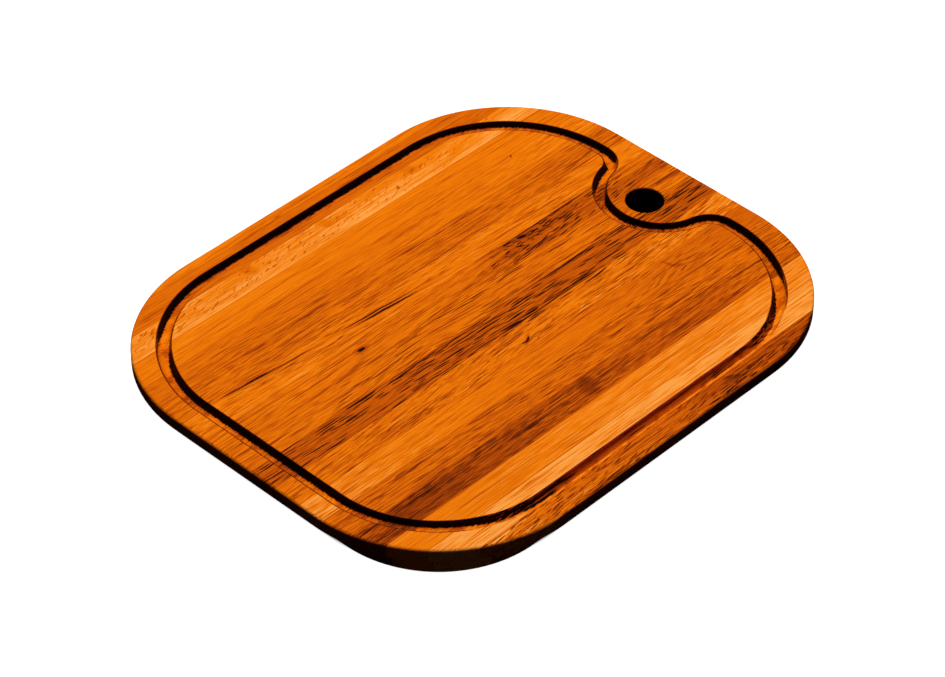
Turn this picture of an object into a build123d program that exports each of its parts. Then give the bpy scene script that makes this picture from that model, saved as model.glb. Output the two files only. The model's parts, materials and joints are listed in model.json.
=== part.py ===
from build123d import *
import math
import os

# A hardwood chopping board that drops into a sink bowl. It is glued up edge to edge from staves,
# then machined as one panel: outline, rebate under the rim, juice groove and finger hole.
# X runs along the grain towards the finger hole, Y across the staves, Z up from the underside.

# Panel
board_length = 410.0
board_width = 340.0
board_thickness = 23.0
end_straight = 126.0  # straight part of each end, between the corner arcs
top_edge_round = 2.0

# Rebate under the rim: the lip lies on a bowl's ledge and the plug drops inside it
lip_thickness = 10.0
rebate_width = 10.0
corner_ledge = 3.5  # ledge left under the lip on the diagonal of each corner
lip_edge_chamfer = 1.0
plug_edge_chamfer = 2.0

# Juice groove, a cove that runs round inside the outline
groove_inset = 20.0  # from the outline to the middle of the groove
groove_inset_hole_end = 22.0
groove_corner_radius = 90.0
groove_width = 9.4
groove_depth = 4.5
groove_edge_ease = 0.6  # chamfer where the cove meets the top

# Finger hole, and the groove's detour round it
hole_diameter = 26.0
hole_setback = 42.0  # from the end of the board to the middle of the hole
hole_edge_round = 1.5
hole_land = 7.5  # wood left between the hole and the groove
detour_blend_radius = 17.0
detour_run_out = 3.5  # straight groove between a corner arc and the detour

# Staves: one joint stands just behind the hole, so that the hole cuts no stave in two
stave_width = 21.0  # about this, so that whole staves fill each side of that joint
back_edge_width = 9.0
front_edge_width = 16.0
hole_joint_margin = 1.0  # wood between the hole and the joint behind it

# How far a cut runs past the wood
cut_overrun = 5.0

# Sizes worked out from the values above
corner_radius = (board_width - end_straight) / 2
plug_height = board_thickness - lip_thickness
plug_length = board_length - 2 * rebate_width
plug_width = board_width - 2 * rebate_width
# A corner of radius r stands r * (diagonal - 1) inside the point where its two sides would meet
diagonal = math.sqrt(2)
plug_corner_radius = corner_radius - (rebate_width * diagonal - corner_ledge) / (diagonal - 1)

hole_radius = hole_diameter / 2
hole_x = board_length / 2 - hole_setback

groove_far_x = groove_inset - board_length / 2
groove_x = board_length / 2 - groove_inset_hole_end
groove_y = board_width / 2 - groove_inset
groove_straight_y = groove_y - groove_corner_radius

# Half widths of the cove at the foot of its eased edges, and of the cutter above the top
cove_half = groove_width / 2 - groove_edge_ease
flare_half = groove_width / 2 + groove_edge_ease

# The detour turns in, goes round the hole and turns out again, all on tangent arcs.
# Its depth and half span give the radius and the angle of those arcs.
detour_depth = groove_x - (hole_x - hole_radius - hole_land - groove_width / 2)
detour_half_span = groove_straight_y - detour_run_out
detour_chord_radius = (detour_half_span**2 + detour_depth**2) / (2 * detour_depth)
detour_radius = detour_chord_radius - detour_blend_radius
detour_angle = math.degrees(math.acos(1 - detour_depth / detour_chord_radius))

# Glue joints from the back to the front, evenly spaced on each side of the joint behind the hole
hole_joint_y = hole_radius + hole_joint_margin
back_joint_y = board_width / 2 - back_edge_width
front_joint_y = front_edge_width - board_width / 2
staves_behind = round((back_joint_y - hole_joint_y) / stave_width)
staves_before = round((hole_joint_y - front_joint_y) / stave_width)
width_behind = (back_joint_y - hole_joint_y) / staves_behind
width_before = (hole_joint_y - front_joint_y) / staves_before
joints_behind = [back_joint_y - width_behind * step for step in range(staves_behind)]
joints_before = [hole_joint_y - width_before * step for step in range(staves_before + 1)]

# Sides and names of the staves, between the joints and the two outer faces of the panel
joint_places = [*joints_behind, *joints_before]
stave_sides = [board_width / 2 + cut_overrun, *joint_places, -board_width / 2 - cut_overrun]
full_staves = [f"stave_{number:02d}" for number in range(1, len(joint_places))]
stave_names = ["back_edge_stave", *full_staves, "front_edge_stave"]

os.makedirs("parts", exist_ok=True)

# The machined panel, before it is told apart into its staves
with BuildPart() as panel:
    # Lip, with the full outline
    with BuildSketch(Plane.XY.offset(plug_height)):
        RectangleRounded(board_length, board_width, corner_radius)
    extrude(amount=lip_thickness)
    fillet(panel.edges().group_by(Axis.Z)[-1], radius=top_edge_round)
    chamfer(panel.edges().group_by(Axis.Z)[0], length=lip_edge_chamfer)

    # Plug, inside the rebate
    with BuildSketch():
        RectangleRounded(plug_length, plug_width, plug_corner_radius)
    extrude(amount=plug_height)
    chamfer(panel.edges().group_by(Axis.Z)[0], length=plug_edge_chamfer)

    # Finger hole, eased on both faces
    with Locations((hole_x, 0, board_thickness)):
        Hole(radius=hole_radius)
    fillet(panel.edges(Select.LAST).filter_by(GeomType.CIRCLE), radius=hole_edge_round)

    # Route of the juice groove, from the middle of the front side and back to it
    with BuildLine(Plane.XY.offset(board_thickness)) as groove_route:
        front_run = Line((0, -groove_y), (groove_x - groove_corner_radius, -groove_y))
        front_corner = JernArc(front_run @ 1, front_run % 1, groove_corner_radius, 90)
        lead_in = Line(front_corner @ 1, (groove_x, -detour_half_span))
        turn_in = JernArc(lead_in @ 1, lead_in % 1, detour_blend_radius, detour_angle)
        round_hole = JernArc(turn_in @ 1, turn_in % 1, detour_radius, -2 * detour_angle)
        turn_out = JernArc(round_hole @ 1, round_hole % 1, detour_blend_radius, detour_angle)
        lead_out = Line(turn_out @ 1, (groove_x, groove_straight_y))
        back_corner = JernArc(lead_out @ 1, lead_out % 1, groove_corner_radius, 90)
        back_run = Line(back_corner @ 1, (groove_far_x + groove_corner_radius, groove_y))
        far_back_corner = JernArc(back_run @ 1, back_run % 1, groove_corner_radius, 90)
        far_run = Line(far_back_corner @ 1, (groove_far_x, -groove_straight_y))
        far_front_corner = JernArc(far_run @ 1, far_run % 1, groove_corner_radius, 90)
        Line(far_front_corner @ 1, front_run @ 0)

    # Cove section, standing across the start of the route
    with BuildSketch(Plane(origin=front_run @ 0, x_dir=(0, 1, 0), z_dir=front_run % 0)):
        with BuildLine():
            cove = ThreePointArc(
                (-cove_half, -groove_edge_ease),
                (0, -groove_depth),
                (cove_half, -groove_edge_ease),
            )
            Polyline(
                cove @ 1,
                (flare_half, groove_edge_ease),
                (-flare_half, groove_edge_ease),
                cove @ 0,
            )
        make_face()
    sweep(path=groove_route.wire(), mode=Mode.SUBTRACT)

# One solid for each stave, between its two glue joints
for stave_name, back_side, front_side in zip(stave_names, stave_sides, stave_sides[1:]):
    with BuildPart() as stave:
        add(panel.part)
        with BuildSketch(Plane.XY.offset(-cut_overrun)):
            with Locations((0, (back_side + front_side) / 2)):
                Rectangle(board_length + 2 * cut_overrun, back_side - front_side)
        extrude(amount=board_thickness + 2 * cut_overrun, mode=Mode.INTERSECT)
    stave.part.label = stave_name
    export_step(stave.part, f"parts/{stave_name}.step")
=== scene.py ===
"""Finish of a glued hardwood chopping board: the oiled wood of its staves, and a plain studio round it."""

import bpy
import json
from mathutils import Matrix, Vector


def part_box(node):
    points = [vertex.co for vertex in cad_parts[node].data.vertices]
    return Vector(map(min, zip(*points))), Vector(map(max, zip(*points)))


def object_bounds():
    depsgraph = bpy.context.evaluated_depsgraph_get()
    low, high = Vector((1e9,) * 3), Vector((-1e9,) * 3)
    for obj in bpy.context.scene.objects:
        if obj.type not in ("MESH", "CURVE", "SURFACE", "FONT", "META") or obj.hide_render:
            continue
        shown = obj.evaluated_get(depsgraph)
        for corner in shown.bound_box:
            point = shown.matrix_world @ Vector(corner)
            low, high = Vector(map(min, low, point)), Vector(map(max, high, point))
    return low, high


bl_info = {
    "name": "Chopping board finish",
    "version": (1, 0, 0),
    "blender": (4, 5, 0),
    "location": "View3D > Sidebar > Board",
    "description": "Oils the staves of a glued chopping board and sets a plain studio round it",
    "category": "Material",
}

import json
import math
from collections import namedtuple

import bmesh
import bpy
from bpy.props import FloatProperty, FloatVectorProperty, PointerProperty
from mathutils import Matrix, Quaternion, Vector

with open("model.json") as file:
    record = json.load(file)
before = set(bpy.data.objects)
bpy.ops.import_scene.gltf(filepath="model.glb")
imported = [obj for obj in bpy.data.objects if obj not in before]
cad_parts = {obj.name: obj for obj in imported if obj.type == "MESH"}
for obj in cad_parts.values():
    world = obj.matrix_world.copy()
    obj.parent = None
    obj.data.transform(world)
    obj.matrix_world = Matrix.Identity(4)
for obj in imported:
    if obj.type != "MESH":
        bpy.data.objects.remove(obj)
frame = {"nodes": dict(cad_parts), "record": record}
cad_low, cad_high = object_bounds()

MM = 0.001
EDGE_STAVES = ("back_edge_stave", "front_edge_stave")
HOLE = next(mount for mount in frame["record"]["mounts"] if mount["name"] == "finger_hole")
HOLE_X, HOLE_RADIUS = HOLE["pos_m"][0], HOLE["dims"]["r_mm"] * MM

# Route of the juice groove: a ring inside the outline, which goes round the hole in a bow between two turns
GROOVE_INSET, GROOVE_INSET_HOLE_END, GROOVE_CORNER = 20 * MM, 22 * MM, 90 * MM
GROOVE_WIDTH, GROOVE_DEPTH = 9.4 * MM, 4.5 * MM
HOLE_LAND, TURN_RADIUS, TURN_RUN_OUT = 7.5 * MM, 17 * MM, 3.5 * MM
GROOVE_X, GROOVE_Y = cad_high.x - GROOVE_INSET_HOLE_END, cad_high.y - GROOVE_INSET
GROOVE_FAR_X = cad_low.x + GROOVE_INSET
TURN_Y = GROOVE_Y - GROOVE_CORNER - TURN_RUN_OUT
BOW_DEPTH = GROOVE_X - (HOLE_X - HOLE_RADIUS - HOLE_LAND - GROOVE_WIDTH / 2)
BOW_RADIUS = (TURN_Y**2 + BOW_DEPTH**2) / (2 * BOW_DEPTH) - TURN_RADIUS
TURN_X, BOW_X = GROOVE_X - TURN_RADIUS, GROOVE_X - BOW_DEPTH + BOW_RADIUS

# Figures that a stave shows besides its plain grain. Along runs from -1 at the far end of the board
# to 1 at the end with the hole, across from 0 at a stave's front joint to 1 at its back joint.
# A shade runs from 0, black, to 1, the palest wood. A lean is a rise in Y for each unit of X.
Patch = namedtuple("Patch", "start end low high change")
Streaks = namedtuple("Streaks", "start end low high lean amount length width ink")
Flecks = namedtuple("Flecks", "start end low high amount ink")
Mark = namedtuple("Mark", "along across length width lean halo")
Blotch = namedtuple("Blotch", "along across length width lean change")
Bend = namedtuple("Bend", "along across length width rise")

# Plain grain of a stave: its shade at the two ends of the board, how far fine lines and broad mottling
# change that, the lean of its lines, the length by which they wander, and how many dark pores it has
# and how dark they are
Look = namedtuple("Look", "far near lines mottle lean wander pores ink figures")

LOOKS = {
    "back_edge_stave": Look(0.936, 0.926, 0.10, 0.10, 0.020, 2 * MM, 0.10, 0.10, ()),
    "stave_01": Look(0.868, 0.868, 0.10, 0.06, -0.010, 2 * MM, 0.15, 0.12, ()),
    "stave_02": Look(
        0.986, 0.988, 0.06, 0.10, 0.000, 3 * MM, 0.00, 0.00,
        (
            Patch(-1.00, 0.90, 0.60, 1.10, -0.020),
            Blotch(-0.36, 0.85, 2.5 * MM, 3.0 * MM, -0.60, -0.070),
            Blotch(-0.02, 0.80, 2.2 * MM, 3.0 * MM, -0.50, -0.060),
            Blotch(0.37, 0.85, 2.5 * MM, 2.6 * MM, -0.50, -0.060),
            Flecks(-0.95, 0.45, 0.15, 0.95, 0.72, 0.24),
            Flecks(0.45, 1.10, 0.45, 1.00, 0.66, 0.24),
        ),
    ),
    "stave_03": Look(0.944, 0.930, 0.08, 0.04, 0.000, 1 * MM, 0.15, 0.08, ()),
    "stave_04": Look(
        0.872, 0.952, 0.11, 0.05, 0.000, 2 * MM, 0.25, 0.16,
        (
            Streaks(-0.95, -0.20, 0.10, 0.95, -0.020, 0.40, 22 * MM, 0.5 * MM, 0.30),
            Mark(0.66, 1.00, 1.2 * MM, 0.7 * MM, 1.50, 0.2),
        ),
    ),
    "stave_05": Look(
        0.895, 0.884, 0.18, 0.10, -0.010, 2 * MM, 0.40, 0.22,
        (Streaks(-1.10, 1.10, 0.00, 1.00, -0.010, 0.25, 20 * MM, 0.5 * MM, 0.30),),
    ),
    "stave_06": Look(
        0.940, 0.940, 0.14, 0.08, -0.030, 2 * MM, 0.20, 0.18,
        (
            Streaks(-0.90, -0.40, 0.55, 1.00, -0.070, 0.35, 24 * MM, 0.5 * MM, 0.35),
            Mark(-0.73, 0.91, 24 * MM, 0.60 * MM, -0.085, 0.20),
            Mark(-0.70, 0.90, 10 * MM, 0.75 * MM, -0.070, 0.30),
            Mark(-0.56, 0.74, 15 * MM, 0.40 * MM, -0.060, 0.20),
            Mark(-0.21, 0.56, 27 * MM, 0.55 * MM, -0.075, 0.20),
            Mark(-0.17, 0.41, 23 * MM, 0.75 * MM, -0.085, 0.20),
        ),
    ),
    "stave_07": Look(
        0.910, 0.890, 0.18, 0.10, 0.000, 3 * MM, 0.30, 0.20,
        (
            Patch(0.25, 0.74, 0.00, 1.00, -0.110),
            Patch(0.32, 0.62, 0.45, 1.00, -0.080),
            Patch(0.74, 1.10, 0.00, 0.60, -0.110),
            Streaks(0.22, 0.80, 0.00, 1.00, 0.060, 0.60, 14 * MM, 0.85 * MM, 0.95),
            Streaks(0.30, 0.55, 0.45, 1.00, -0.250, 0.65, 9 * MM, 1.0 * MM, 0.95),
            Mark(0.315, 0.92, 4.0 * MM, 0.8 * MM, 0.00, 0.5),
            Mark(0.285, 0.62, 2.6 * MM, 0.6 * MM, 0.10, 0.4),
            Mark(0.375, 0.86, 3.5 * MM, 1.4 * MM, -0.20, 0.5),
            Streaks(0.70, 1.10, 0.00, 0.60, 0.030, 0.50, 16 * MM, 0.6 * MM, 0.75),
            Streaks(-0.60, 0.60, -0.05, 0.12, 0.000, 0.60, 30 * MM, 0.6 * MM, 0.45),
            Mark(0.52, 0.98, 36 * MM, 0.45 * MM, 0.000, 0.30),
            Mark(-0.376, 0.60, 3.0 * MM, 1.3 * MM, 0.00, 0.5),
        ),
    ),
    "stave_08": Look(
        0.896, 0.906, 0.20, 0.08, -0.005, 3 * MM, 0.30, 0.22,
        (
            Bend(-0.22, 0.40, 70 * MM, 16 * MM, 6 * MM),
            Streaks(-0.60, 0.95, 0.00, 1.00, -0.020, 0.24, 28 * MM, 0.7 * MM, 0.75),
        ),
    ),
    "stave_09": Look(
        0.784, 0.790, 0.16, 0.09, -0.010, 1 * MM, 0.30, 0.25,
        (
            Streaks(-1.10, 1.10, 0.00, 1.00, -0.015, 0.42, 28 * MM, 0.85 * MM, 1.00),
            Streaks(-1.10, 1.10, 0.00, 1.00, -0.020, 0.38, 16 * MM, 0.65 * MM, 0.95),
            Streaks(-0.90, 1.10, 0.84, 1.04, 0.000, 0.78, 34 * MM, 0.90 * MM, 1.00),
            Streaks(-1.10, 0.70, -0.04, 0.16, 0.000, 0.74, 32 * MM, 0.90 * MM, 1.00),
            Mark(0.42, 0.97, 24 * MM, 0.55 * MM, 0.000, 0.20),
            Mark(0.33, 0.12, 14 * MM, 0.50 * MM, 0.000, 0.20),
            Mark(0.07, 0.04, 20 * MM, 0.50 * MM, 0.000, 0.20),
            Mark(-0.64, 0.55, 10 * MM, 0.45 * MM, -0.040, 0.20),
            Mark(0.62, 0.36, 13 * MM, 0.45 * MM, 0.020, 0.20),
            Mark(0.91, 0.82, 15 * MM, 0.45 * MM, 0.060, 0.20),
            Mark(0.94, 0.50, 10 * MM, 0.45 * MM, 0.030, 0.20),
        ),
    ),
    "stave_10": Look(
        0.910, 0.950, 0.18, 0.08, 0.045, 3 * MM, 0.28, 0.20,
        (
            Streaks(-1.00, 0.20, 0.00, 1.00, 0.050, 0.16, 28 * MM, 0.5 * MM, 0.42),
            Streaks(0.00, 0.85, 0.86, 1.06, 0.000, 0.60, 28 * MM, 0.8 * MM, 0.95),
            Streaks(0.06, 0.85, 0.00, 0.60, -0.010, 0.30, 26 * MM, 0.5 * MM, 0.50),
            Mark(0.02, 0.32, 2.4 * MM, 0.9 * MM, 0.60, 0.4),
            Mark(0.005, 0.28, 2.6 * MM, 0.5 * MM, -0.10, 0.3),
        ),
    ),
    "stave_11": Look(
        0.982, 0.834, 0.11, 0.06, 0.000, 4 * MM, 0.20, 0.14,
        (
            Bend(0.60, 0.40, 30 * MM, 10 * MM, 5 * MM),
            Streaks(0.20, 0.95, 0.00, 1.00, 0.020, 0.26, 16 * MM, 0.6 * MM, 0.42),
            Blotch(0.605, 0.62, 0.9 * MM, 2.0 * MM, -2.00, -0.130),
            Blotch(0.625, 0.40, 1.6 * MM, 1.0 * MM, -0.60, -0.130),
        ),
    ),
    "stave_12": Look(
        0.868, 0.892, 0.18, 0.10, -0.020, 2 * MM, 0.40, 0.24,
        (Streaks(-1.10, 1.10, 0.00, 1.00, -0.040, 0.28, 18 * MM, 0.5 * MM, 0.36),),
    ),
    "stave_13": Look(
        0.700, 0.872, 0.24, 0.36, 0.000, 2 * MM, 0.45, 0.30,
        (
            Patch(-0.85, -0.58, 0.10, 1.00, -0.130),
            Patch(-0.52, -0.26, 0.00, 0.90, -0.070),
            Blotch(-0.01, 0.55, 3.4 * MM, 4.5 * MM, 0.00, -0.180),
            Streaks(-1.10, 0.10, 0.00, 1.00, 0.000, 0.60, 14 * MM, 0.55 * MM, 0.70),
            Streaks(0.10, 1.10, 0.00, 1.00, 0.000, 0.40, 12 * MM, 0.5 * MM, 0.36),
        ),
    ),
    "stave_14": Look(0.948, 0.970, 0.09, 0.04, 0.000, 2 * MM, 0.10, 0.06, ()),
    "stave_15": Look(1.000, 1.000, 0.07, 0.04, 0.005, 1 * MM, 0.00, 0.00, ()),
    "front_edge_stave": Look(
        0.980, 0.750, 0.24, 0.44, 0.000, 6 * MM, 0.35, 0.28,
        (
            Patch(0.12, 0.70, -0.10, 1.10, -0.070),
            Flecks(-1.10, 1.10, -0.10, 1.10, 0.55, 0.24),
            Streaks(-1.10, 1.10, -0.10, 1.10, 0.060, 0.45, 12 * MM, 0.8 * MM, 0.60),
            Streaks(0.25, 0.80, -0.10, 0.60, 0.030, 0.50, 15 * MM, 0.9 * MM, 0.80),
            # This row of black streaks runs along the rounded front edge: partly dark grain, partly painted
            # shade on that edge
            Streaks(0.20, 0.76, -0.30, 0.22, 0.020, 0.80, 18 * MM, 1.1 * MM, 1.00),
        ),
    ),
}

# Shade that each of the wood's colours stands for. The pore colour, and black below it, also serve as the
# painted shade in the groove and the finger hole.
BLACK_SHADE, PORE_SHADE, DARK_SHADE, BROWN_SHADE = 0.0, 0.09, 0.54, 0.72
ORANGE_SHADE, GOLDEN_SHADE, BRIGHT_SHADE, PALE_SHADE = 0.845, 0.935, 0.958, 1.0


def colour_setting(name, description, default):
    return FloatVectorProperty(
        name=name, description=description, subtype="COLOR", min=0, max=1, default=default
    )


def place_setting(name, description, default):
    return FloatVectorProperty(name=name, description=description, subtype="TRANSLATION", default=default)


def length_setting(name, description, default):
    return FloatProperty(name=name, description=description, unit="LENGTH", min=0, default=default)


def share_setting(name, description, default):
    return FloatProperty(name=name, description=description, subtype="FACTOR", min=0, max=1, default=default)


def angle_setting(name, description, degrees):
    return FloatProperty(name=name, description=description, subtype="ANGLE", default=math.radians(degrees))


def power_setting(name, description, default):
    return FloatProperty(name=name, description=description, unit="POWER", min=0, default=default)


def strength_setting(name, description, default):
    return FloatProperty(name=name, description=description, min=0, default=default)


class BoardWood(bpy.types.PropertyGroup):
    """Colours, grain and surface of the oiled staves, and the shade painted into the groove and the finger
    hole.
    """

    pale: colour_setting("Pale", "Palest wood", (0.955, 0.357, 0.060))
    bright: colour_setting("Bright", "Bright wood", (0.880, 0.215, 0.003))
    golden: colour_setting("Golden", "Golden wood", (0.838, 0.186, 0.001))
    orange: colour_setting("Orange", "Middling wood", (0.680, 0.124, 0.001))
    brown: colour_setting("Brown", "Brown wood", (0.495, 0.074, 0.001))
    dark: colour_setting("Dark", "Dark wood", (0.280, 0.036, 0.001))
    pore: colour_setting("Pores", "Pores, streaks and knots full of old oil", (0.014, 0.003, 0.001))
    pore_length: length_setting("Pore length", "Usual length of a row of pores along the grain", 14 * MM)
    pore_width: length_setting("Pore width", "Usual width of a row of pores", 0.45 * MM)
    joint_width: length_setting("Joint width", "Width of the dark line at a glue joint", 0.35 * MM)
    joint_ink: share_setting("Joint ink", "How dark the line at a glue joint is", 0.22)
    end_grain: share_setting("End grain", "How far soaked-up oil darkens the ends of the staves", 0.30)
    rings: share_setting("Rings", "How far growth rings change the shade of the ends", 0.07)
    # Painted shade where shade falls in the groove and the finger hole: low in the groove, along its edges,
    # black on its side away from the key light, and on the hole's wall
    painted_groove_shade: share_setting("Groove shade", "How far painted shade darkens the inside of the groove, in smears", 0.26)
    painted_shadow: share_setting("Painted shadow", "How dark the painted shadow is on the groove's side towards the front and far end", 0.96)
    edge_shade: share_setting("Edge shade", "How dark the painted shade is along the groove's two edges", 0.75)
    hole_shade: share_setting("Hole shade", "How dark the painted shade on the wall of the finger hole is", 0.95)
    pore_depth: length_setting("Pore depth", "Depth of the pores and cracks", 0.12 * MM)
    fibre_height: share_setting("Fibre height", "Height of the fibres, as a share of the pores' depth", 0.2)
    relief: share_setting("Relief", "How far pores and fibres turn the light", 0.2)
    roughness: share_setting("Roughness", "Roughness of the satin oil", 0.50)
    pore_roughness: share_setting("Pore roughness", "Roughness that the pores add", 0.20)
    fibre_roughness: share_setting("Fibre roughness", "Roughness that the fibres add or take", 0.05)
    sheen: share_setting("Sheen", "Strength of the oil's reflections", 0.06)


class BoardStudio(bpy.types.PropertyGroup):
    """Camera, lights and floor round the board."""

    azimuth: angle_setting("Azimuth", "Camera's turn round the board, from the front side", -46.10)
    elevation: angle_setting("Elevation", "Camera's height above the horizon", 40.667)
    roll: angle_setting("Roll", "Camera's turn about its own line of sight", 0.279)
    distance: length_setting("Distance", "From the camera to the point that it aims at", 2330.9 * MM)
    aim: place_setting(
        "Aim", "Point that is in the middle of the picture", (-19.85 * MM, -16.62 * MM, cad_high.z)
    )
    lens: strength_setting("Lens", "Focal length in millimetres", 138.85)
    sensor: strength_setting("Sensor", "Width of the camera's sensor in millimetres", 36.0)
    key_azimuth: angle_setting("Key azimuth", "Plan direction from the board to the key light, from X", 48)
    key_elevation: angle_setting("Key elevation", "Height of the key light above the horizon", 62)
    key_distance: length_setting("Key distance", "From the board to the key light", 9.0)
    key_size: length_setting("Key size", "Width of the key light", 1.2)
    key_power: power_setting("Key power", "Power of the light behind the board", 800)
    fill_place: place_setting("Fill place", "From the board to the softbox above it", (0.6, 0.6, 2.6))
    fill_size: length_setting("Fill size", "Width of the softbox above the board", 2.0)
    fill_power: power_setting("Fill power", "Power of the softbox above the board", 14)
    room: strength_setting("Room", "Strength of the light from the room itself", 0.012)
    floor_reach: length_setting("Floor reach", "From the middle of the floor to its sides", 8.0)
    floor_colour: colour_setting("Floor", "Colour of the pale floor", (0.35, 0.35, 0.35))
    floor_roughness: share_setting("Floor roughness", "Roughness of the pale floor", 0.9)
    floor_glow: strength_setting("Floor glow", "Light that comes through the floor round the board", 1.0)
    shade_start: length_setting("Shade start", "Where the glow begins to fail, in from the outline", 9 * MM)
    shade_full: length_setting("Shade full", "Where the glow has failed, in from the outline", 12 * MM)


class Wiring:
    """Adds nodes to one node tree. An input is a plain value, or the socket that feeds it."""

    ROWS, ROW, COLUMN = 6, 180, 220

    def __init__(self, tree):
        self.tree = tree

    def add(self, kind, inputs=(), **settings):
        column, row = divmod(len(self.tree.nodes), self.ROWS)
        node = self.tree.nodes.new(kind)
        node.location = (column * self.COLUMN, -row * self.ROW)
        for setting, value in settings.items():
            setattr(node, setting, value)
        for key, value in dict(inputs).items():
            self.feed(node.inputs[key], value)
        return node

    def feed(self, socket, value):
        if isinstance(value, bpy.types.NodeSocket):
            self.tree.links.new(value, socket)
        else:
            socket.default_value = value

    def math(self, operation, *values):
        return self.add("ShaderNodeMath", enumerate(values), operation=operation).outputs[0]

    def times(self, first, second):
        return self.math("MULTIPLY", first, second)

    def scaled(self, value, factor, shift):
        return self.math("MULTIPLY_ADD", value, factor, shift)

    def vector(self, operation, *values):
        return self.add("ShaderNodeVectorMath", enumerate(values), operation=operation).outputs[0]

    def length(self, value):
        return self.add("ShaderNodeVectorMath", {0: value}, operation="LENGTH").outputs["Value"]

    def dot(self, first, second):
        inputs = {0: first, 1: second}
        return self.add("ShaderNodeVectorMath", inputs, operation="DOT_PRODUCT").outputs["Value"]

    def point(self, x, y, z):
        return self.add("ShaderNodeCombineXYZ", {0: x, 1: y, 2: z}).outputs[0]

    def axes(self, value):
        return self.add("ShaderNodeSeparateXYZ", {0: value}).outputs

    def noise(self, place, scale, detail=2.0, roughness=0.5):
        place = self.vector("MULTIPLY", place, scale)
        inputs = {"Vector": place, "Scale": 1.0, "Detail": detail, "Roughness": roughness}
        return self.add("ShaderNodeTexNoise", inputs).outputs["Fac"]

    def swing(self, place, scale, detail=2.0, roughness=0.5):
        """Noise that swings about zero."""
        return self.math("SUBTRACT", self.noise(place, scale, detail, roughness), 0.5)

    def draw(self, number):
        """Random number for each number."""
        return self.add("ShaderNodeTexWhiteNoise", {"W": number}, noise_dimensions="1D").outputs["Value"]

    def draws(self, first, second):
        """Random outputs for each pair of numbers."""
        pair = self.point(first, second, 0.0)
        return self.add("ShaderNodeTexWhiteNoise", {"Vector": pair}, noise_dimensions="2D").outputs

    def rise(self, value, low, high):
        """Grows smoothly from 0 at low to 1 at high, or the other way round where low is the greater."""
        inputs = {0: value, 1: low, 2: high}
        return self.add("ShaderNodeMapRange", inputs, interpolation_type="SMOOTHSTEP").outputs[0]

    def blend(self, factor, first, second):
        return self.add("ShaderNodeMix", {0: factor, 2: first, 3: second}, data_type="FLOAT").outputs[0]

    def effect(self, name, inputs):
        """Places one of the shared node groups, which is built the first time."""
        tree = bpy.data.node_groups.get(name) or EFFECTS[name](name)
        node = self.add("ShaderNodeGroup", node_tree=tree)
        for key, value in inputs.items():
            self.feed(node.inputs[key], value)
        return node.outputs


SOCKETS = {"vector": "NodeSocketVector", "value": "NodeSocketFloat", "colour": "NodeSocketColor"}


def start_group(name, inputs, outputs):
    """New node group with named sockets: its wiring, the sockets it is given and those it has to feed."""
    tree = bpy.data.node_groups.new(name, "ShaderNodeTree")
    for side, sockets in (("INPUT", inputs), ("OUTPUT", outputs)):
        for label, kind in sockets.items():
            tree.interface.new_socket(label, in_out=side, socket_type=SOCKETS[kind])
    wiring = Wiring(tree)
    return wiring, wiring.add("NodeGroupInput").outputs, wiring.add("NodeGroupOutput").inputs


def grain_lines(name):
    """Place in the wood, measured along grain lines that lean and wander."""
    wiring, given, result = start_group(
        name,
        {"Place": "vector", "Seed": "value", "Lean": "value", "Wander": "value"},
        {"Grain": "vector"},
    )
    seed_step, ripple_share = (7.3, 3.1, 5.7), 0.4
    drift_scale, ripple_scale = (5, 28, 28), (22, 70, 70)
    # Each seed reads the noise in a place of its own
    seeds = wiring.point(given["Seed"], given["Seed"], given["Seed"])
    place = wiring.vector("ADD", given["Place"], wiring.vector("MULTIPLY", seeds, seed_step))
    drift = wiring.swing(place, drift_scale)
    drift = wiring.scaled(wiring.swing(place, ripple_scale), ripple_share, drift)
    wander = wiring.times(drift, given["Wander"])
    fall = wiring.times(wiring.axes(given["Place"])["X"], given["Lean"])
    rise = wiring.math("SUBTRACT", wander, fall)
    wiring.feed(result["Grain"], wiring.vector("ADD", place, wiring.point(0.0, rise, rise)))
    return wiring.tree


def grain_bend(name):
    """Grain lines that swell to one side round a place in the stave."""
    wiring, given, result = start_group(
        name,
        {"Place": "vector", "Grain": "vector", "Centre": "vector", "Reach": "vector", "Rise": "value"},
        {"Grain": "vector"},
    )
    offset = wiring.vector("SUBTRACT", given["Place"], given["Centre"])
    offset = wiring.vector("MULTIPLY", wiring.vector("DIVIDE", offset, given["Reach"]), (1, 1, 0))
    near = wiring.rise(wiring.length(offset), 1.0, 0.0)
    swell = wiring.point(0.0, wiring.times(near, given["Rise"]), 0.0)
    wiring.feed(result["Grain"], wiring.vector("SUBTRACT", given["Grain"], swell))
    return wiring.tree


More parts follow.
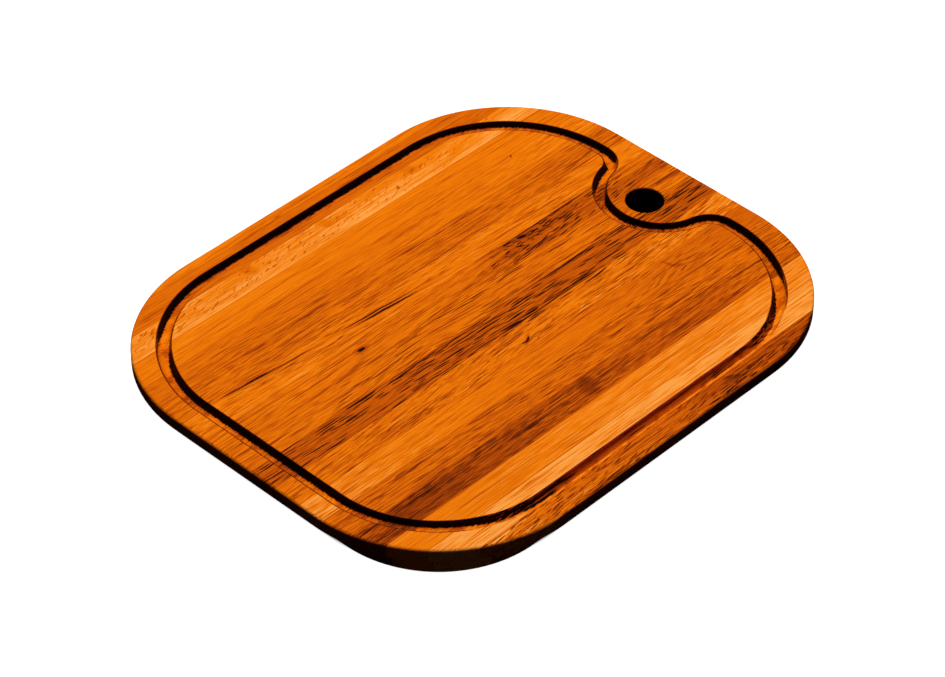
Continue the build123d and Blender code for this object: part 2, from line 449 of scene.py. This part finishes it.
def wood_shade(name):
    """Shade of plain wood: it goes from one end to the other, with fine lines, fibres and broad mottling."""
    wiring, given, result = start_group(
        name,
        {
            "Place": "vector", "Grain": "vector", "Reach": "value", "Far": "value", "Near": "value",
            "Lines": "value", "Mottle": "value",
        },
        {"Shade": "value", "Fibre": "value"},
    )
    along = wiring.math("DIVIDE", wiring.axes(given["Place"])["X"], given["Reach"])
    plain = wiring.blend(wiring.scaled(along, 0.5, 0.5), given["Far"], given["Near"])

    thread_scale, fibre_scale, fibre_share, thread_gain = (15, 800, 800), (80, 1500, 1500), 1.5, 4.0
    lines = wiring.swing(given["Grain"], thread_scale, detail=1, roughness=0.6)
    lines = wiring.scaled(wiring.swing(given["Grain"], fibre_scale), fibre_share, lines)
    threads = wiring.times(lines, thread_gain)
    # Dark threads stand out more than light ones
    even_share, dark_share = 0.36, -0.20
    uneven = wiring.times(threads, even_share)
    uneven = wiring.scaled(wiring.math("ABSOLUTE", threads), dark_share, uneven)

    # The darkest lines are thin and run on along the grain, where noise crosses its middle. They come and go.
    line_edge, line_middle = 0.030, 0.006
    patch_edge, patch_middle = 0.42, 0.60
    for line_scale, patch_scale, strength in (
        ((5, 360, 360), (15, 200, 200), -1.9),
        ((7, 640, 640), (16, 260, 260), -1.5),
    ):
        from_middle = wiring.math("ABSOLUTE", wiring.swing(given["Grain"], line_scale))
        patches = wiring.rise(wiring.noise(given["Grain"], patch_scale), patch_edge, patch_middle)
        thin = wiring.times(wiring.rise(from_middle, line_edge, line_middle), patches)
        uneven = wiring.scaled(thin, strength, uneven)

    mottle = wiring.swing(given["Grain"], (14, 110, 110), detail=3, roughness=0.6)
    shade = wiring.scaled(mottle, given["Mottle"], plain)
    wiring.feed(result["Shade"], wiring.scaled(uneven, given["Lines"], shade))
    wiring.feed(result["Fibre"], threads)
    return wiring.tree


def dark_pores(name):
    """Mask of dark pores: dashes along the grain, at most one in each cell of loose rows of cells."""
    wiring, given, result = start_group(
        name,
        {"Grain": "vector", "Amount": "value", "Length": "value", "Width": "value"},
        {"Mask": "value"},
    )
    place = wiring.axes(given["Grain"])
    # Rows of cells, which wave a few widths. Their slant keeps them apart on faces across Y as well.
    row_pitch, wave_reach, slant, row_shift = 2.6, 4.0, 0.9, 9.0
    waves = wiring.times(wiring.swing(given["Grain"], (40, 150, 150), detail=1), given["Width"])
    level = wiring.scaled(place["Z"], slant, place["Y"])
    level = wiring.scaled(waves, wave_reach, level)
    rows = wiring.math("DIVIDE", level, wiring.times(given["Width"], row_pitch))
    row = wiring.math("FLOOR", rows)
    cells = wiring.math("DIVIDE", place["X"], given["Length"])
    cells = wiring.scaled(wiring.draw(row), row_shift, cells)
    cell = wiring.math("FLOOR", cells)

    # Place in the cell from the middle of its dash, in halves of the dash's own length and width
    luck = wiring.axes(wiring.draws(cell, row)["Color"])
    middle = wiring.scaled(luck["Y"], 0.5, 0.25)
    half_width = wiring.scaled(luck["X"], 0.10, 0.16)
    half_length = wiring.scaled(luck["Z"], 0.30, 0.20)
    across = wiring.math("SUBTRACT", wiring.math("FRACT", rows), middle)
    along = wiring.math("SUBTRACT", wiring.math("FRACT", cells), 0.5)
    across = wiring.math("DIVIDE", across, half_width)
    along = wiring.math("DIVIDE", along, half_length)
    dash_edge, dash_body = 1.08, 0.88
    shape = wiring.rise(wiring.length(wiring.point(along, across, 0.0)), dash_edge, dash_body)

    # Dashes stand in clumps
    clump_gain = 3.0
    clumps = wiring.swing(given["Grain"], (9, 110, 110), detail=1)
    amount = wiring.times(given["Amount"], wiring.scaled(clumps, clump_gain, 1.0))
    drawn = wiring.math("LESS_THAN", wiring.draws(row, cell)["Value"], amount)
    wiring.feed(result["Mask"], wiring.times(shape, drawn))
    return wiring.tree


def ragged_stretch(name):
    """Mask of one stretch of a stave, with ends and sides that run out ragged along the grain."""
    wiring, given, result = start_group(
        name,
        {
            "Place": "vector", "Grain": "vector",
            "Start": "value", "End": "value", "Low": "value", "High": "value",
        },
        {"Mask": "value"},
    )
    end_rag, end_soft = 90 * MM, 12 * MM
    side_rag, side_soft = 9 * MM, 1.2 * MM
    place = wiring.axes(given["Place"])
    along = wiring.scaled(wiring.swing(given["Grain"], (8, 420, 420)), end_rag, place["X"])
    across = wiring.scaled(wiring.swing(given["Grain"], (30, 60, 60)), side_rag, place["Y"])
    mask = 1.0
    for first, second, soft in (
        (along, given["Start"], end_soft),
        (given["End"], along, end_soft),
        (across, given["Low"], side_soft),
        (given["High"], across, side_soft),
    ):
        depth = wiring.math("SUBTRACT", first, second)
        mask = wiring.times(wiring.rise(depth, -soft, soft), mask)
    wiring.feed(result["Mask"], mask)
    return wiring.tree


def ray_flecks(name):
    """Mask of ray flecks: short curly marks that cross the grain at a slant."""
    wiring, given, result = start_group(name, {"Grain": "vector", "Amount": "value"}, {"Mask": "value"})
    slant, none_above, gain, soft = math.radians(-20), 0.75, -0.20, 0.08
    turn = {"Vector": given["Grain"], "Angle": slant}
    turned = wiring.add("ShaderNodeVectorRotate", turn, rotation_type="Z_AXIS").outputs[0]
    marks = wiring.noise(turned, (150, 820, 820), detail=1.5)
    limit = wiring.scaled(given["Amount"], gain, none_above)
    wiring.feed(result["Mask"], wiring.rise(marks, limit, wiring.math("ADD", limit, soft)))
    return wiring.tree


def dark_mark(name):
    """Masks of a small knot or crack and of the darker wood round it."""
    wiring, given, result = start_group(
        name,
        {"Place": "vector", "Centre": "vector", "Length": "value", "Width": "value", "Lean": "value"},
        {"Core": "value", "Halo": "value"},
    )
    waver_reach, rag = 2.5 * MM, 0.8
    core_edge, core_body, halo_edge, halo_body = 1.2, 0.8, 3.0, 0.9
    offset = wiring.axes(wiring.vector("SUBTRACT", given["Place"], given["Centre"]))
    across = wiring.math("SUBTRACT", offset["Y"], wiring.times(offset["X"], given["Lean"]))
    across = wiring.scaled(wiring.swing(given["Place"], (45, 45, 45)), waver_reach, across)
    along = wiring.math("DIVIDE", offset["X"], given["Length"])
    spread = wiring.point(along, wiring.math("DIVIDE", across, given["Width"]), 0.0)
    ragged = wiring.times(wiring.swing(given["Place"], (700, 900, 900)), rag)
    reach = wiring.math("ADD", wiring.length(spread), ragged)
    wiring.feed(result["Core"], wiring.rise(reach, core_edge, core_body))
    wiring.feed(result["Halo"], wiring.rise(reach, halo_edge, halo_body))
    return wiring.tree


def outline_inset(name):
    """Distance inwards from a rectangle with rounded corners."""
    wiring, given, result = start_group(
        name, {"Place": "vector", "Core": "vector", "Radius": "value"}, {"Inset": "value"}
    )
    flat = wiring.vector("MULTIPLY", given["Place"], (1, 1, 0))
    past = wiring.vector("SUBTRACT", wiring.vector("ABSOLUTE", flat), given["Core"])
    sides = wiring.axes(past)
    corner = wiring.length(wiring.vector("MAXIMUM", past, (0, 0, 0)))
    inner = wiring.math("MINIMUM", wiring.math("MAXIMUM", sides["X"], sides["Y"]), 0.0)
    wiring.feed(result["Inset"], wiring.math("SUBTRACT", given["Radius"], wiring.math("ADD", corner, inner)))
    return wiring.tree


def groove_route(name):
    """Distance from the middle of the juice groove."""
    wiring, given, result = start_group(name, {"Place": "vector", "Ring": "value"}, {"Distance": "value"})
    place = wiring.axes(given["Place"])
    side = wiring.math("ABSOLUTE", place["Y"])
    flat = wiring.point(place["X"], side, 0.0)
    turn, bow = (
        wiring.math("SUBTRACT", wiring.length(wiring.vector("SUBTRACT", flat, centre)), radius)
        for centre, radius in (((TURN_X, TURN_Y, 0.0), TURN_RADIUS), ((BOW_X, 0.0, 0.0), BOW_RADIUS))
    )
    # A turn meets the bow on the line through their two middles
    past_turn = wiring.times(wiring.math("SUBTRACT", place["X"], TURN_X), TURN_Y)
    past_side = wiring.times(wiring.math("SUBTRACT", side, TURN_Y), BOW_X - TURN_X)
    in_turn = wiring.math("GREATER_THAN", wiring.math("ADD", past_turn, past_side), 0.0)
    between_turns = wiring.math("LESS_THAN", side, TURN_Y)
    in_detour = wiring.times(between_turns, wiring.math("GREATER_THAN", place["X"], 0.0))
    route = wiring.blend(in_detour, given["Ring"], wiring.blend(in_turn, bow, turn))
    wiring.feed(result["Distance"], wiring.math("ABSOLUTE", route))
    return wiring.tree


def groove_smeared_shade(wiring, place, sunk):
    """Mask of painted shade low in the groove, broken into smears."""
    bare_share, smeared_share = 0.15, 0.85
    smeared_shade = wiring.rise(wiring.noise(place, (90, 160, 160), detail=3), 0.48, 0.66)
    smeared_shade = wiring.scaled(smeared_shade, smeared_share, bare_share)
    return wiring.times(wiring.rise(sunk, 0.05, 0.80), smeared_shade)


def groove_edges(wiring, distance, sunk, teeth, along, at_front):
    """Mask of the thin line of painted shade along both edges of the groove."""
    tooth_length, line_edge, line_middle = 0.8 * MM, 0.75 * MM, 0.25 * MM
    from_edge = wiring.math("ABSOLUTE", wiring.math("SUBTRACT", distance, GROOVE_WIDTH / 2))
    from_edge = wiring.scaled(teeth, tooth_length, from_edge)
    painted_edge = wiring.rise(from_edge, line_edge, line_middle)
    painted_edge = wiring.times(painted_edge, wiring.rise(sunk, 0.50, 0.20))
    # It is strong at the two ends of the board, and weak along the front
    side_share, end_share = 0.2, 0.8
    at_end = wiring.rise(wiring.math("ABSOLUTE", along), 105 * MM, 150 * MM)
    kept = wiring.scaled(at_end, end_share, side_share)
    kept = wiring.math("MAXIMUM", wiring.math("SUBTRACT", kept, at_front), 0.0)
    return wiring.times(painted_edge, kept)


def groove_painted_shadow(wiring, normal, teeth, at_front):
    """Mask of painted shadow on the groove's side that faces the front and the far end, away from the key
    light.
    """
    shadowed_way, least_slope = (-0.67, -0.74, 0.0), 0.05
    facing = wiring.dot(normal, shadowed_way)
    slope = wiring.length(wiring.vector("MULTIPLY", normal, (1, 1, 0)))
    turned = wiring.math("DIVIDE", facing, wiring.math("MAXIMUM", slope, least_slope))
    # Slope from which the side gets painted shadow. The painted shadow is narrower where it faces straight
    # that way, runs out where it turns aside, and is wide along the front.
    usual, straight_gain, aside_gain, front_gain = 0.40, 0.21, 0.60, -0.33
    limit = wiring.scaled(wiring.rise(turned, 0.7, 1.0), straight_gain, usual)
    limit = wiring.scaled(wiring.rise(turned, 0.28, -0.12), aside_gain, limit)
    limit = wiring.scaled(at_front, front_gain, limit)
    tooth_share, soft = 0.5, 0.09
    past_limit = wiring.math("SUBTRACT", wiring.scaled(teeth, tooth_share, slope), limit)
    shadowed = wiring.rise(past_limit, -soft, soft)
    return wiring.times(shadowed, wiring.rise(facing, -0.12, -0.02))


def front_shadow_streaks(wiring, place, along, at_front):
    """How much of the painted shadow stays along the front, where only streaks stay black, most of them at
    the ends.
    """
    far_gain, near_gain, lightened_share = 0.22, 0.12, 0.66
    blacker = wiring.times(wiring.rise(along, -50 * MM, -100 * MM), far_gain)
    blacker = wiring.scaled(wiring.rise(along, 75 * MM, 110 * MM), near_gain, blacker)
    streaks = wiring.math("ADD", wiring.noise(place, (36, 800, 800)), blacker)
    unstreaked = wiring.math("SUBTRACT", 1.0, wiring.rise(streaks, 0.58, 0.66))
    lightened = wiring.times(wiring.times(unstreaked, lightened_share), at_front)
    return wiring.math("SUBTRACT", 1.0, lightened)


def groove_and_hole_shade(name):
    """Masks of painted shade: in smears low in the groove, along its edges, on its side towards the front and
    far end, and on the finger hole's wall.
    """
    wiring, given, result = start_group(
        name,
        {"Place": "vector", "Normal": "vector", "Distance": "value", "Top": "value"},
        {"Groove": "value", "Edge": "value", "Painted shadow": "value", "Hole": "value"},
    )
    place = wiring.axes(given["Place"])
    # Depth below the cutting face, as a share of the groove's depth
    sunk = wiring.math("DIVIDE", wiring.math("SUBTRACT", given["Top"], place["Z"]), GROOVE_DEPTH)
    lip_edge, lip_inside = GROOVE_WIDTH / 2 + 0.6 * MM, GROOVE_WIDTH / 2 + 0.1 * MM
    inside = wiring.rise(given["Distance"], lip_edge, lip_inside)
    inside = wiring.times(inside, wiring.rise(sunk, 1.15, 1.05))
    front_start, front_full = 18 * MM - GROOVE_Y, 6 * MM - GROOVE_Y
    at_front = wiring.rise(place["Y"], front_start, front_full)
    teeth = wiring.swing(given["Place"], (220, 1000, 1000), detail=1)

    smeared_shade = groove_smeared_shade(wiring, given["Place"], sunk)
    wiring.feed(result["Groove"], wiring.times(inside, smeared_shade))
    wiring.feed(result["Edge"], groove_edges(wiring, given["Distance"], sunk, teeth, place["X"], at_front))
    # Painted shadow on the side away from the key light, weaker and in streaks along the front
    painted_shadow = groove_painted_shadow(wiring, given["Normal"], teeth, at_front)
    painted_shadow = wiring.times(painted_shadow, front_shadow_streaks(wiring, given["Place"], place["X"], at_front))
    wiring.feed(result["Painted shadow"], wiring.times(inside, painted_shadow))

    # Painted shade on the wall of the finger hole, right through the board
    wall_edge, wall_inside = HOLE_RADIUS + 1.4 * MM, HOLE_RADIUS + 0.7 * MM
    flat = wiring.point(place["X"], place["Y"], 0.0)
    from_hole = wiring.length(wiring.vector("SUBTRACT", flat, (HOLE_X, 0.0, 0.0)))
    wall = wiring.rise(from_hole, wall_edge, wall_inside)
    wiring.feed(result["Hole"], wiring.times(wall, wiring.rise(sunk, 0.02, 0.30)))
    return wiring.tree


def end_grain(name):
    """Mask of a stave's sawn ends, and the growth rings that they show."""
    wiring, given, result = start_group(
        name, {"Place": "vector", "Normal": "vector", "Seed": "value"}, {"Mask": "value", "Rings": "value"}
    )
    facing = wiring.math("ABSOLUTE", wiring.axes(given["Normal"])["X"])
    wiring.feed(result["Mask"], wiring.rise(facing, 0.85, 0.99))
    # The rings run round a pith that lies below the board, in another place for each stave
    pith_spread, pith_depth, ring_waver, turn_per_metre = 300 * MM, 60 * MM, 3 * MM, 2800.0
    place = wiring.axes(given["Place"])
    pith = wiring.scaled(wiring.draw(given["Seed"]), pith_spread, -pith_spread / 2)
    from_pith = wiring.point(
        0.0, wiring.math("SUBTRACT", place["Y"], pith), wiring.math("ADD", place["Z"], pith_depth)
    )
    ripple = wiring.swing(given["Place"], (30, 90, 90))
    radius = wiring.scaled(ripple, ring_waver, wiring.length(from_pith))
    wiring.feed(result["Rings"], wiring.math("SINE", wiring.times(radius, turn_per_metre)))
    return wiring.tree


def opaque(colour):
    """A settings colour as a node colour."""
    return (*colour, 1.0)


def oiled_colour(name):
    """Colour of oiled wood, from its shade."""
    wiring, given, result = start_group(name, {"Shade": "value"}, {"Color": "colour"})
    wood = bpy.context.scene.board_wood
    stops = {
        BLACK_SHADE: (0.0, 0.0, 0.0),
        PORE_SHADE: wood.pore,
        DARK_SHADE: wood.dark,
        BROWN_SHADE: wood.brown,
        ORANGE_SHADE: wood.orange,
        GOLDEN_SHADE: wood.golden,
        BRIGHT_SHADE: wood.bright,
        PALE_SHADE: wood.pale,
    }
    ramp = wiring.add("ShaderNodeValToRGB", {"Fac": given["Shade"]})
    elements = ramp.color_ramp.elements
    while len(elements) < len(stops):
        elements.new(0.5)
    for element, (position, colour) in zip(elements, stops.items()):
        element.position = position
        element.color = opaque(colour)
    wiring.feed(result["Color"], ramp.outputs["Color"])
    return wiring.tree


EFFECTS = {
    "Grain lines": grain_lines,
    "Grain bend": grain_bend,
    "Wood shade": wood_shade,
    "Dark pores": dark_pores,
    "Ragged stretch": ragged_stretch,
    "Ray flecks": ray_flecks,
    "Dark mark": dark_mark,
    "Outline inset": outline_inset,
    "Groove route": groove_route,
    "Groove and hole shade": groove_and_hole_shade,
    "End grain": end_grain,
    "Oiled colour": oiled_colour,
}


def corner_radius():
    """Radius of the board's corners, from how far the back edge stave's ends stand in from the corners."""
    low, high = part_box("back_edge_stave")
    short_by = cad_high.x - high.x
    width = high.y - low.y
    return short_by + width + math.sqrt(2 * short_by * width)


def inset(wiring, place, half_length, half_width, radius):
    """Distance of a place inwards from a rectangle round the middle, with rounded corners."""
    core = (half_length - radius, half_width - radius, 0.0)
    return wiring.effect("Outline inset", {"Place": place, "Core": core, "Radius": radius})["Inset"]


class StaveWood:
    """Wires the wood of one stave, layer upon layer, as a shade that is made a colour at the end."""

    def __init__(self, node, wood):
        self.low, self.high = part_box(node)
        self.wood = wood
        self.look = LOOKS[node]
        self.seed = float(1 + list(LOOKS).index(node))
        self.material = bpy.data.materials.new(f"{node}_wood")
        self.material.use_nodes = True
        self.material.node_tree.nodes.clear()
        self.wiring = Wiring(self.material.node_tree)
        coordinates = self.wiring.add("ShaderNodeTexCoord").outputs
        self.place, self.normal = coordinates["Object"], coordinates["Normal"]
        self.grain = self.lines(self.look.lean)
        for figure in self.look.figures:
            if isinstance(figure, Bend):
                self.bend(figure)
        look = self.look
        plain = {
            "Place": self.place, "Grain": self.grain, "Reach": cad_high.x,
            "Far": look.far, "Near": look.near, "Lines": look.lines, "Mottle": look.mottle,
        }
        plain = self.wiring.effect("Wood shade", plain)
        self.shade, self.fibre = plain["Shade"], plain["Fibre"]
        self.hollows = self.pores(self.grain, look.pores, wood.pore_length, wood.pore_width)
        self.ink(self.hollows, look.ink)

    def lines(self, lean):
        inputs = {"Place": self.place, "Seed": self.seed, "Lean": lean, "Wander": self.look.wander}
        return self.wiring.effect("Grain lines", inputs)["Grain"]

    def pores(self, grain, amount, length, width):
        inputs = {"Grain": grain, "Amount": amount, "Length": length, "Width": width}
        return self.wiring.effect("Dark pores", inputs)["Mask"]

    def spot(self, figure):
        return (figure.along * cad_high.x, self.across(figure.across), 0.0)

    def across(self, share):
        return self.low.y + share * (self.high.y - self.low.y)

    def stretch(self, figure):
        inputs = {
            "Place": self.place, "Grain": self.grain,
            "Start": figure.start * cad_high.x, "End": figure.end * cad_high.x,
            "Low": self.across(figure.low), "High": self.across(figure.high),
        }
        return self.wiring.effect("Ragged stretch", inputs)["Mask"]

    def shift(self, mask, change):
        """Makes the wood lighter or darker where the mask says."""
        self.shade = self.wiring.scaled(mask, change, self.shade)

    def ink(self, mask, strength, shade=PORE_SHADE):
        """Takes the wood towards another shade where the mask says."""
        self.shade = self.wiring.blend(self.wiring.times(mask, strength), self.shade, shade)

    def hollow(self, mask, strength):
        """Inks what is sunk into the wood."""
        self.ink(mask, strength)
        self.hollows = self.wiring.math("MAXIMUM", self.hollows, mask)

    def bend(self, figure):
        inputs = {
            "Place": self.place, "Grain": self.grain, "Centre": self.spot(figure),
            "Reach": (figure.length, figure.width, 1.0), "Rise": figure.rise,
        }
        self.grain = self.wiring.effect("Grain bend", inputs)["Grain"]

    def add_figure(self, figure):
        """Adds any figure but a bend, which the plain grain already follows."""
        if isinstance(figure, Patch):
            self.shift(self.stretch(figure), figure.change)
        elif isinstance(figure, Streaks):
            streaks = self.pores(self.lines(figure.lean), figure.amount, figure.length, figure.width)
            self.hollow(self.wiring.times(streaks, self.stretch(figure)), figure.ink)
        elif isinstance(figure, Flecks):
            flecks = self.wiring.effect("Ray flecks", {"Grain": self.grain, "Amount": figure.amount})["Mask"]
            self.hollow(self.wiring.times(flecks, self.stretch(figure)), figure.ink)
        elif isinstance(figure, Blotch):
            self.shift(self.mark(figure)["Halo"], figure.change)
        elif isinstance(figure, Mark):
            mark = self.mark(figure)
            self.ink(mark["Halo"], figure.halo, DARK_SHADE)
            self.hollow(mark["Core"], 1.0)

    def mark(self, figure):
        """Masks of a mark or a blotch, which goes straight down through the stave."""
        inputs = {
            "Place": self.wiring.vector("MULTIPLY", self.place, (1, 1, 0)), "Centre": self.spot(figure),
            "Length": figure.length, "Width": figure.width, "Lean": figure.lean,
        }
        return self.wiring.effect("Dark mark", inputs)

    def joints(self):
        """Mask of the glue lines along the stave's two sides."""
        y = self.wiring.axes(self.place)["Y"]
        from_low, from_high = (
            self.wiring.math("ABSOLUTE", self.wiring.math("SUBTRACT", y, side))
            for side in (self.low.y, self.high.y)
        )
        nearest = self.wiring.math("MINIMUM", from_low, from_high)
        return self.wiring.rise(nearest, self.wood.joint_width, 0.0)

    # Masks of the painted shade in the groove and on the finger hole's wall
    def painted_groove_shade(self):
        from_middle = self.wiring.vector("SUBTRACT", self.place, ((GROOVE_X + GROOVE_FAR_X) / 2, 0.0, 0.0))
        ring = inset(self.wiring, from_middle, (GROOVE_X - GROOVE_FAR_X) / 2, GROOVE_Y, GROOVE_CORNER)
        distance = self.wiring.effect("Groove route", {"Place": self.place, "Ring": ring})["Distance"]
        inputs = {"Place": self.place, "Normal": self.normal, "Distance": distance, "Top": cad_high.z}
        return self.wiring.effect("Groove and hole shade", inputs)

    def finish(self):
        """Joins the layers into an oiled, satin surface."""
        wiring, wood = self.wiring, self.wood
        self.ink(self.joints(), wood.joint_ink)
        sawn = wiring.effect("End grain", {"Place": self.place, "Normal": self.normal, "Seed": self.seed})
        self.shift(wiring.times(sawn["Rings"], sawn["Mask"]), wood.rings)
        self.ink(sawn["Mask"], wood.end_grain)
        # Painted shade: low in the groove, along its edges, black on its side away from the key light, and on
        # the finger hole's wall
        painted_groove_shade = self.painted_groove_shade()
        self.ink(painted_groove_shade["Groove"], wood.painted_groove_shade)
        self.ink(painted_groove_shade["Edge"], wood.edge_shade)
        self.ink(painted_groove_shade["Painted shadow"], wood.painted_shadow, BLACK_SHADE)
        self.ink(painted_groove_shade["Hole"], wood.hole_shade)
        fibres = wiring.times(self.fibre, wood.fibre_height)
        relief = {
            "Height": wiring.math("SUBTRACT", fibres, self.hollows),
            "Distance": wood.pore_depth,
            "Strength": wood.relief,
        }
        rough = wiring.scaled(self.hollows, wood.pore_roughness, wood.roughness)
        surface = {
            "Base Color": wiring.effect("Oiled colour", {"Shade": self.shade})["Color"],
            "Roughness": wiring.scaled(self.fibre, wood.fibre_roughness, rough),
            "Normal": wiring.add("ShaderNodeBump", relief).outputs[0],
            "Specular IOR Level": wood.sheen,
        }
        surface = wiring.add("ShaderNodeBsdfPrincipled", surface)
        wiring.add("ShaderNodeOutputMaterial", {"Surface": surface.outputs[0]})
        return self.material


def oil_stave(node, wood):
    """Gives one stave its own oiled wood."""
    stave = StaveWood(node, wood)
    for figure in stave.look.figures:
        stave.add_figure(figure)
    frame["nodes"][node].material_slots[0].material = stave.finish()


def pale_floor(studio):
    """Wide plain floor under the board, which glows except in the board's shade."""
    mesh = bpy.data.meshes.new("studio_floor")
    shape = bmesh.new()
    under = Matrix.Translation((0, 0, cad_low.z))
    bmesh.ops.create_grid(shape, x_segments=1, y_segments=1, size=studio.floor_reach, matrix=under)
    shape.to_mesh(mesh)
    shape.free()
    floor = bpy.data.objects.new("studio_floor", mesh)
    bpy.context.scene.collection.objects.link(floor)
    material = bpy.data.materials.new("studio_floor_paint")
    material.use_nodes = True
    wiring = Wiring(material.node_tree)
    place = wiring.add("ShaderNodeTexCoord").outputs["Object"]
    surface = material.node_tree.nodes["Principled BSDF"].inputs
    surface["Base Color"].default_value = opaque(studio.floor_colour)
    surface["Roughness"].default_value = studio.floor_roughness
    surface["Specular IOR Level"].default_value = 0.0
    surface["Emission Color"].default_value = (1.0, 1.0, 1.0, 1.0)
    under_board = inset(wiring, place, cad_high.x, cad_high.y, corner_radius())
    lit = wiring.rise(under_board, studio.shade_full, studio.shade_start)
    wiring.feed(surface["Emission Strength"], wiring.times(lit, studio.floor_glow))
    mesh.materials.append(material)
    floor.visible_diffuse = False
    floor.visible_glossy = False


def direction(azimuth, elevation):
    """Unit vector at an angle from the X axis in plan and at a height above the horizon."""
    plan = math.cos(elevation)
    return Vector((plan * math.cos(azimuth), plan * math.sin(azimuth), math.sin(elevation)))


def area_light(name, power, size, place, target, gloss=True):
    """Square softbox that faces its target. Without gloss it is polarised, so that it leaves no sheen."""
    light = bpy.data.lights.new(name, "AREA")
    light.energy = power
    light.size = size
    lamp = bpy.data.objects.new(name, light)
    lamp.location = place
    lamp.rotation_euler = (target - place).to_track_quat("-Z", "Y").to_euler()
    lamp.visible_glossy = gloss
    bpy.context.scene.collection.objects.link(lamp)


def studio_lights(studio):
    """Key light behind the board, and a weak softbox above it."""
    middle = Vector((0, 0, cad_high.z))
    key_place = middle + studio.key_distance * direction(studio.key_azimuth, studio.key_elevation)
    area_light("key_light", studio.key_power, studio.key_size, key_place, middle, gloss=False)
    fill_place = middle + Vector(studio.fill_place)
    area_light("fill_light", studio.fill_power, studio.fill_size, fill_place, middle)


def studio_room(studio):
    """Room that looks white past the floor, and gives only a little light of its own."""
    world = bpy.data.worlds.new("studio_room")
    world.use_nodes = True
    wiring = Wiring(world.node_tree)
    seen = wiring.add("ShaderNodeLightPath").outputs["Is Camera Ray"]
    background = world.node_tree.nodes["Background"].inputs
    background["Color"].default_value = (1.0, 1.0, 1.0, 1.0)
    wiring.feed(background["Strength"], wiring.blend(seen, studio.room, 1.0))
    return world


def studio_camera(studio):
    """Camera at the photograph's view. Its azimuth runs from the front, a quarter turn before X."""
    back = direction(studio.azimuth - math.pi / 2, studio.elevation)
    camera = bpy.data.cameras.new("studio_camera")
    camera.lens = studio.lens
    camera.sensor_width = studio.sensor
    camera.sensor_fit = "HORIZONTAL"
    holder = bpy.data.objects.new("studio_camera", camera)
    turn = back.to_track_quat("Z", "Y") @ Quaternion((0, 0, 1), studio.roll)
    holder.matrix_world = Matrix.LocRotScale(Vector(studio.aim) + studio.distance * back, turn, None)
    bpy.context.scene.collection.objects.link(holder)
    bpy.context.scene.camera = holder


class BOARD_OT_oil_full_staves(bpy.types.Operator):
    """Gives each full stave its own oiled wood"""

    bl_idname = "board.oil_full_staves"
    bl_label = "Oil the full staves"

    def execute(self, context):
        for node in sorted(set(frame["nodes"]) - set(EDGE_STAVES)):
            oil_stave(node, context.scene.board_wood)
        return {"FINISHED"}


class BOARD_OT_oil_edge_staves(bpy.types.Operator):
    """Gives the narrow staves on the two long edges their oiled wood"""

    bl_idname = "board.oil_edge_staves"
    bl_label = "Oil the edge staves"

    def execute(self, context):
        for node in EDGE_STAVES:
            oil_stave(node, context.scene.board_wood)
        return {"FINISHED"}


class BOARD_OT_set_studio(bpy.types.Operator):
    """Sets the floor, the lights and the camera round the board"""

    bl_idname = "board.set_studio"
    bl_label = "Set the studio"

    def execute(self, context):
        studio = context.scene.board_studio
        pale_floor(studio)
        studio_lights(studio)
        context.scene.world = studio_room(studio)
        context.scene.view_settings.view_transform = "Standard"
        studio_camera(studio)
        return {"FINISHED"}


class BOARD_PT_finish(bpy.types.Panel):
    """Finish of the chopping board"""

    bl_idname = "BOARD_PT_finish"
    bl_label = "Chopping board"
    bl_space_type = "VIEW_3D"
    bl_region_type = "UI"
    bl_category = "Board"

    def draw(self, context):
        for operator in OPERATORS:
            self.layout.operator(operator.bl_idname)
        for settings in (context.scene.board_wood, context.scene.board_studio):
            column = self.layout.column()
            for name in settings.__annotations__:
                column.prop(settings, name)


OPERATORS = (BOARD_OT_oil_full_staves, BOARD_OT_oil_edge_staves, BOARD_OT_set_studio)
CLASSES = (BoardWood, BoardStudio, *OPERATORS, BOARD_PT_finish)


def register():
    for one in CLASSES:
        bpy.utils.register_class(one)
    bpy.types.Scene.board_wood = PointerProperty(type=BoardWood)
    bpy.types.Scene.board_studio = PointerProperty(type=BoardStudio)


def unregister():
    del bpy.types.Scene.board_studio
    del bpy.types.Scene.board_wood
    for one in reversed(CLASSES):
        bpy.utils.unregister_class(one)


def main():
    register()
    bpy.ops.board.oil_full_staves()
    bpy.ops.board.oil_edge_staves()
    bpy.ops.board.set_studio()


if __name__ == "__main__":
    main()
